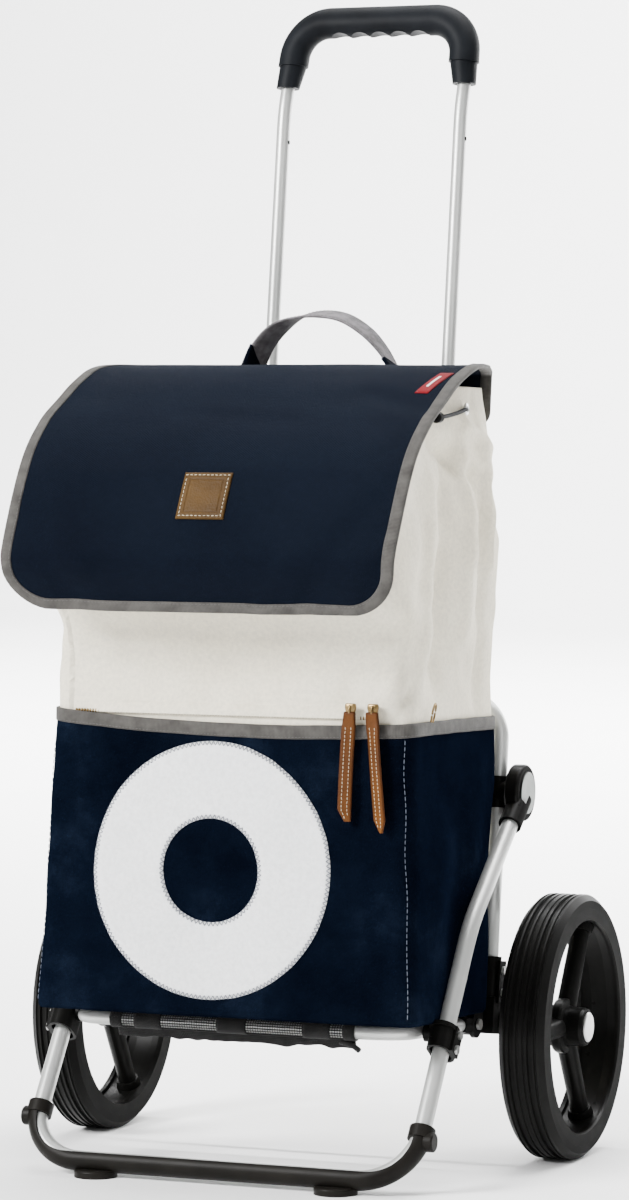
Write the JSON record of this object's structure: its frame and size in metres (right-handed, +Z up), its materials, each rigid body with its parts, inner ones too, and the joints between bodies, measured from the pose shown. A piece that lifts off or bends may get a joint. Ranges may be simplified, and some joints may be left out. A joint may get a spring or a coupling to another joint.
{
  "type": "shopping trolley",
  "caption": "Two-wheeled shopping trolley: bag with a turn-over flap on a folding tube frame with a net platform, foot bar and telescopic handle.",
  "frame": {"origin": "on the floor, under the middle of the bounding box; the wheels' axle runs 103.5 mm behind it", "axes": "+Z up, -Y to the front, where the bag's flap and the foot bar are, +X to the viewer's right"},
  "size_m": [0.5292, 0.4588, 1.105],
  "materials": {
    "silver_tube": "satin silver powder coat",
    "black_plastic": "fine-grained",
    "black_rubber": "matt",
    "grip_plastic": "satin",
    "steel": "bright zinc",
    "disc_silver": "satin",
    "tyre_rubber": "matt, grooved",
    "navy_velvet": "short pile",
    "white_canvas": "plain weave",
    "navy_canvas": "coarse weave",
    "grey_webbing": "woven tape",
    "black_mesh": "open mesh",
    "board": "rough",
    "zip_metal": "pale gold",
    "zip_tape": "woven tape with a coil",
    "tan_leather": "smooth",
    "patch_leather": "pressed",
    "red_tag": "woven label, white in the middle",
    "grey_cord": "braided"
  },
  "bodies": {
    "frame": {"main_tubes": "silver_tube", "axle_brackets": "black_plastic", "bracket_plates": "black_plastic", "bracket_bolts": "steel", "knuckle_mounts": "black_plastic", "knuckle_pins": "steel", "hinge_pins": "steel", "axle": "steel", "wheel_bearings": "steel", "axle_clips": "steel", "cross_bar": "silver_tube", "hanging_bar": "silver_tube", "top_collars": "black_plastic", "pocket_panel": "navy_velvet", "front_panel_lower": "white_canvas", "front_panel_upper": "white_canvas", "back_panel": "white_canvas", "side_panels_lower": "navy_velvet", "side_panels_upper": "white_canvas", "bag_bottom": "navy_canvas", "base_board": "board", "pocket_binding": "grey_webbing", "zip_tape": "zip_tape", "flap_back": "navy_canvas", "strap_tabs": "grey_webbing", "drawstring": "grey_cord", "bag_hangers": "grey_webbing"},
    "handle": {"handle_tubes": "silver_tube", "grip": "grip_plastic"},
    "leg": {"leg_tube": "silver_tube", "foot_cover": "black_rubber", "foot_pads": "black_rubber", "leg_knuckles": "black_plastic"},
    "platform": {"platform_tube": "silver_tube", "platform_ends": "black_plastic", "cross_pins": "steel", "net_sling": "black_mesh", "net_hem": "black_mesh", "net_rear_webbing": "black_mesh"},
    "sleeves": {"slide_brackets": "black_plastic", "slide_bracket_screws": "steel"},
    "flap": {"flap_panel": "navy_canvas", "flap_binding": "grey_webbing", "leather_patch": "patch_leather", "side_tag": "red_tag"},
    "strap": {"carry_strap": "grey_webbing"},
    "release_button_right": {"release_button_right": "disc_silver"},
    "height_button_right": {"height_button_right": "black_plastic"},
    "wheel_right": {"tyre_right": "tyre_rubber", "rim_right": "black_plastic", "hub_cap_right": "steel"},
    "release_button_left": {"release_button_left": "disc_silver"},
    "height_button_left": {"height_button_left": "black_plastic"},
    "wheel_left": {"tyre_left": "tyre_rubber", "rim_left": "black_plastic", "hub_cap_left": "steel"},
    "zip_slider_inner": {"zip_slider_inner": "zip_metal"},
    "zip_pull_inner": {"zip_pull_inner": "tan_leather"},
    "zip_slider_outer": {"zip_slider_outer": "zip_metal"},
    "zip_pull_outer": {"zip_pull_outer": "tan_leather"}
  },
  "joints": [
    {"name": "leg_fold", "type": "hinge", "parent": "frame", "child": "leg", "pos_m": [0, 0.1195, 0.343], "axis": [1, 0, 0], "range_deg": [0, 27.87]},
    {"name": "platform_fold", "type": "hinge", "parent": "frame", "child": "platform", "pos_m": [0, 0.0515, 0.129], "axis": [1, 0, 0], "range_deg": [0, 85.05]},
    {"name": "sleeve_turn", "type": "hinge", "parent": "platform", "child": "sleeves", "pos_m": [0, -0.08562, 0.13799], "axis": [1, 0, 0], "range_deg": [-57.18, 0]},
    {"name": "handle_slide", "type": "slide", "parent": "frame", "child": "handle", "axis": [0, 0.1229, 0.9924], "range_m": [-0.2, 0]},
    {"name": "release_button_press_right", "type": "slide", "parent": "leg", "child": "release_button_right", "axis": [-1, 0, 0], "range_m": [0, 0.0025], "stiffness_N_per_m": 1500},
    {"name": "height_button_press_right", "type": "slide", "parent": "frame", "child": "height_button_right", "axis": [1, 0, 0], "range_m": [0, 0.003], "stiffness_N_per_m": 1000},
    {"name": "wheel_spin_right", "type": "hinge", "parent": "frame", "child": "wheel_right", "pos_m": [0.2387, 0.1035, 0.125], "axis": [1, 0, 0], "continuous": true},
    {"name": "release_button_press_left", "type": "slide", "parent": "leg", "child": "release_button_left", "axis": [1, 0, 0], "range_m": [0, 0.0025], "stiffness_N_per_m": 1500},
    {"name": "height_button_press_left", "type": "slide", "parent": "frame", "child": "height_button_left", "axis": [-1, 0, 0], "range_m": [0, 0.003], "stiffness_N_per_m": 1000},
    {"name": "wheel_spin_left", "type": "hinge", "parent": "frame", "child": "wheel_left", "pos_m": [-0.2387, 0.1035, 0.125], "axis": [1, 0, 0], "continuous": true},
    {"name": "flap_hinge", "type": "hinge", "parent": "frame", "child": "flap", "pos_m": [0, 0.0435, 0.748], "axis": [-1, 0, 0], "range_deg": [0, 95]},
    {"name": "strap_fold", "type": "hinge", "parent": "frame", "child": "strap", "pos_m": [0, 0.0735, 0.751], "axis": [-1, 0, 0], "range_deg": [0, 40], "stiffness_Nm_per_rad": 0.05},
    {"name": "zip_slide_inner", "type": "slide", "parent": "frame", "child": "zip_slider_inner", "axis": [-1, 0, 0], "range_m": [0, 0.24]},
    {"name": "zip_pull_swing_inner", "type": "hinge", "parent": "zip_slider_inner", "child": "zip_pull_inner", "pos_m": [0.1235, -0.1575, 0.4315], "axis": [-1, 0, 0], "range_deg": [0, 100]},
    {"name": "zip_slide_outer", "type": "slide", "parent": "frame", "child": "zip_slider_outer", "axis": [1, 0, 0], "range_m": [0, 0.012]},
    {"name": "zip_pull_swing_outer", "type": "hinge", "parent": "zip_slider_outer", "child": "zip_pull_outer", "pos_m": [0.1452, -0.1575, 0.4315], "axis": [-1, 0, 0], "range_deg": [0, 100]}
  ],
  "couplings": [
    {"joint": "platform_fold", "follows": "leg_fold", "ratio": 3.05},
    {"joint": "sleeve_turn", "follows": "leg_fold", "ratio": -2.05}
  ]
}
